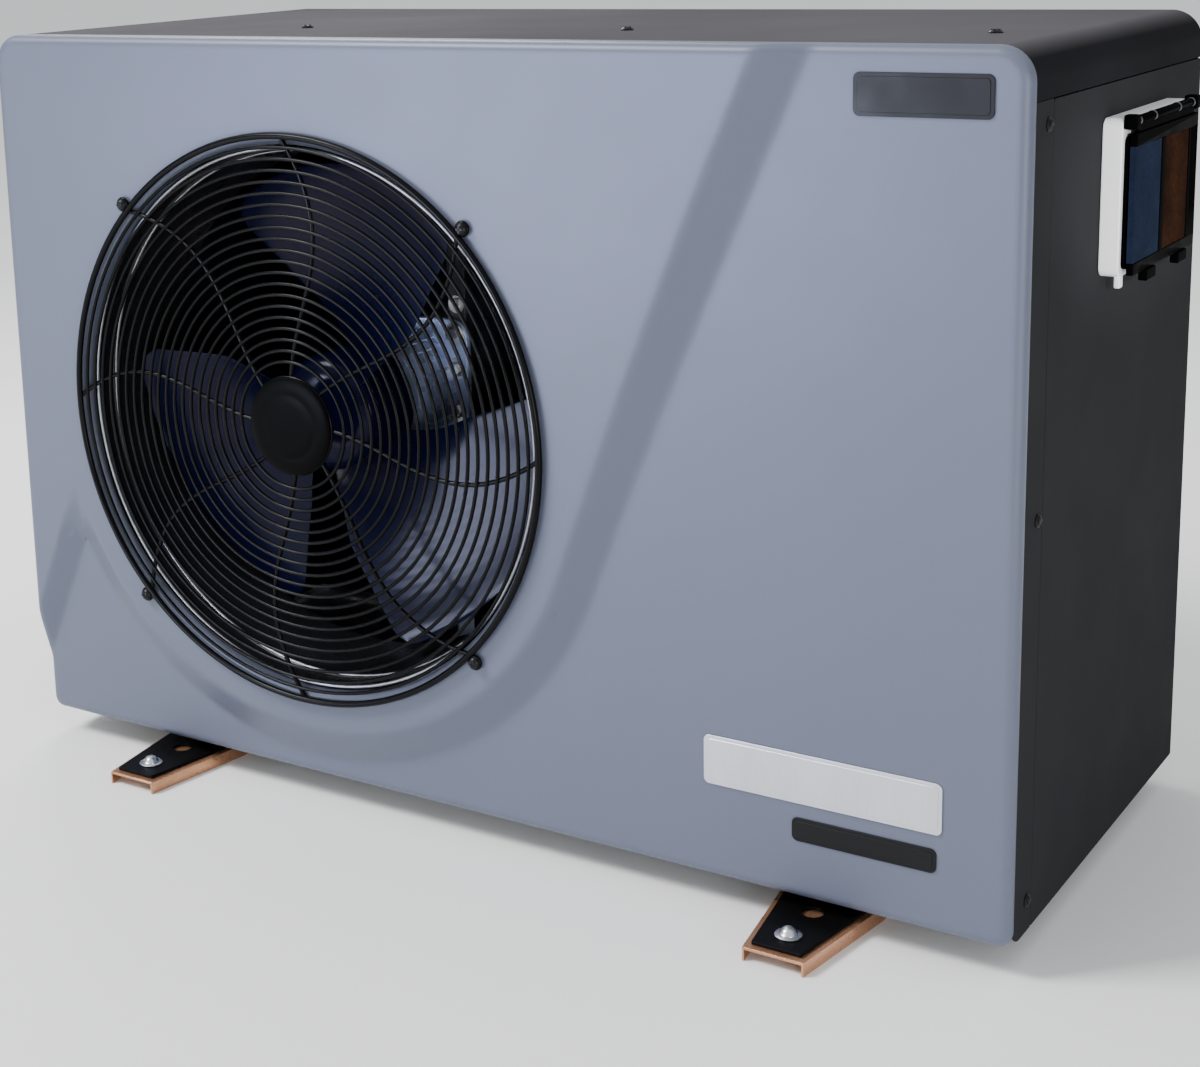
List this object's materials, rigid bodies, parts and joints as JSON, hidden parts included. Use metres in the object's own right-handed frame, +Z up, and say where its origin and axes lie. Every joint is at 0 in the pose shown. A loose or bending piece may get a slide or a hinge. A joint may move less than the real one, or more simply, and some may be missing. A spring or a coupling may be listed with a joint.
{
  "type": "pool heat pump unit",
  "caption": "Outdoor pool heat pump: painted cabinet with wave relief, guarded front fan, coil, compressor, rear water unions, side controller with lift-up cover, and feet.",
  "frame": {"origin": "centre of the floor area under the unit", "axes": "+X to the right seen from the fan side, +Y to the back (water unions), +Z up"},
  "size_m": [1.0276, 0.562, 0.709],
  "materials": {
    "silver_paint": "satin silver-blue metallic paint",
    "hood_paint": "satin dark grey paint",
    "charcoal_paint": "satin charcoal paint",
    "galvanised": "galvanised sheet",
    "guard_wire": "black powder coat",
    "black_plastic": "fine grained black moulding",
    "fan_plastic": "glossy navy-black moulding",
    "steel": "zinc plated steel",
    "motor_paint": "silver-blue housing",
    "coil_fins": "dark coated aluminium fins",
    "compressor_paint": "black paint",
    "exchanger_shell": "dark grey plastic shell",
    "copper_tube": "bare copper tube",
    "pipe_plastic": "light grey pressure pipe",
    "bare_aluminium": "extruded aluminium",
    "white_plastic": "white moulding",
    "display_glass": "glossy dark blue window",
    "smoked_plastic": "glossy smoked moulding",
    "button_plastic": "grey soft-touch keys",
    "screw_black": "black oxide",
    "foot_copper": "satin copper-coloured plating",
    "rubber": "black rubber"
  },
  "bodies": {
    "cabinet": {"front_panel": "silver_paint", "top_cover": "hood_paint", "right_front_post": "charcoal_paint", "left_front_post": "charcoal_paint", "right_side_panel": "charcoal_paint", "left_side_grille": "charcoal_paint", "rear_grille": "charcoal_paint", "rear_panel": "charcoal_paint", "base_pan": "galvanised", "partition_plate": "galvanised", "fan_shroud": "charcoal_paint", "fan_guard": "guard_wire", "guard_badge": "black_plastic", "motor_body": "motor_paint", "motor_bracket": "steel", "evaporator_coil": "coil_fins", "compressor": "compressor_paint", "accumulator": "compressor_paint", "heat_exchanger": "exchanger_shell", "four_way_valve": "copper_tube", "expansion_valve": "copper_tube", "discharge_pipe": "copper_tube", "suction_pipe": "copper_tube", "liquid_pipe": "copper_tube", "water_inlet_pipe": "pipe_plastic", "water_outlet_pipe": "pipe_plastic", "inlet_union_nut": "black_plastic", "outlet_union_nut": "black_plastic", "electrical_box": "galvanised", "electrical_cover": "galvanised", "heat_sink": "bare_aluminium", "cable_gland": "black_plastic", "drain_nozzle": "black_plastic", "controller_base": "white_plastic", "controller_fascia": "display_glass", "foot_rail_left": "foot_copper", "foot_rail_right": "foot_copper", "foot_pad_left": "rubber", "foot_pad_right": "rubber", "top_screw_1": "screw_black", "side_screw_1": "screw_black", "top_screw_2": "screw_black", "side_screw_2": "screw_black", "top_screw_3": "screw_black", "side_screw_3": "screw_black", "guard_screw_1": "screw_black", "guard_screw_2": "screw_black", "guard_screw_3": "screw_black", "guard_screw_4": "screw_black", "foot_bolt_left_front": "steel", "foot_bolt_left_rear": "steel", "foot_bolt_right_front": "steel", "foot_bolt_right_rear": "steel"},
    "fan": {"fan_rotor": "fan_plastic", "motor_shaft": "steel"},
    "controller_cover": {"controller_flap": "smoked_plastic"},
    "button_1": {"controller_button_1": "button_plastic"},
    "button_2": {"controller_button_2": "button_plastic"},
    "button_3": {"controller_button_3": "button_plastic"}
  },
  "joints": [
    {"name": "fan_spin", "type": "hinge", "parent": "cabinet", "child": "fan", "pos_m": [-0.1688, -0.145, 0.365], "axis": [0, 1, 0], "continuous": true},
    {"name": "controller_cover_hinge", "type": "hinge", "parent": "cabinet", "child": "controller_cover", "pos_m": [0.5087, 0.0385, 0.638], "axis": [0, -1, 0], "range_deg": [0, 110]},
    {"name": "button_1_press", "type": "slide", "parent": "cabinet", "child": "button_1", "axis": [-1, 0, 0], "range_m": [0, 0.0006], "stiffness_N_per_m": 300},
    {"name": "button_2_press", "type": "slide", "parent": "cabinet", "child": "button_2", "axis": [-1, 0, 0], "range_m": [0, 0.0006], "stiffness_N_per_m": 300},
    {"name": "button_3_press", "type": "slide", "parent": "cabinet", "child": "button_3", "axis": [-1, 0, 0], "range_m": [0, 0.0006], "stiffness_N_per_m": 300}
  ]
}
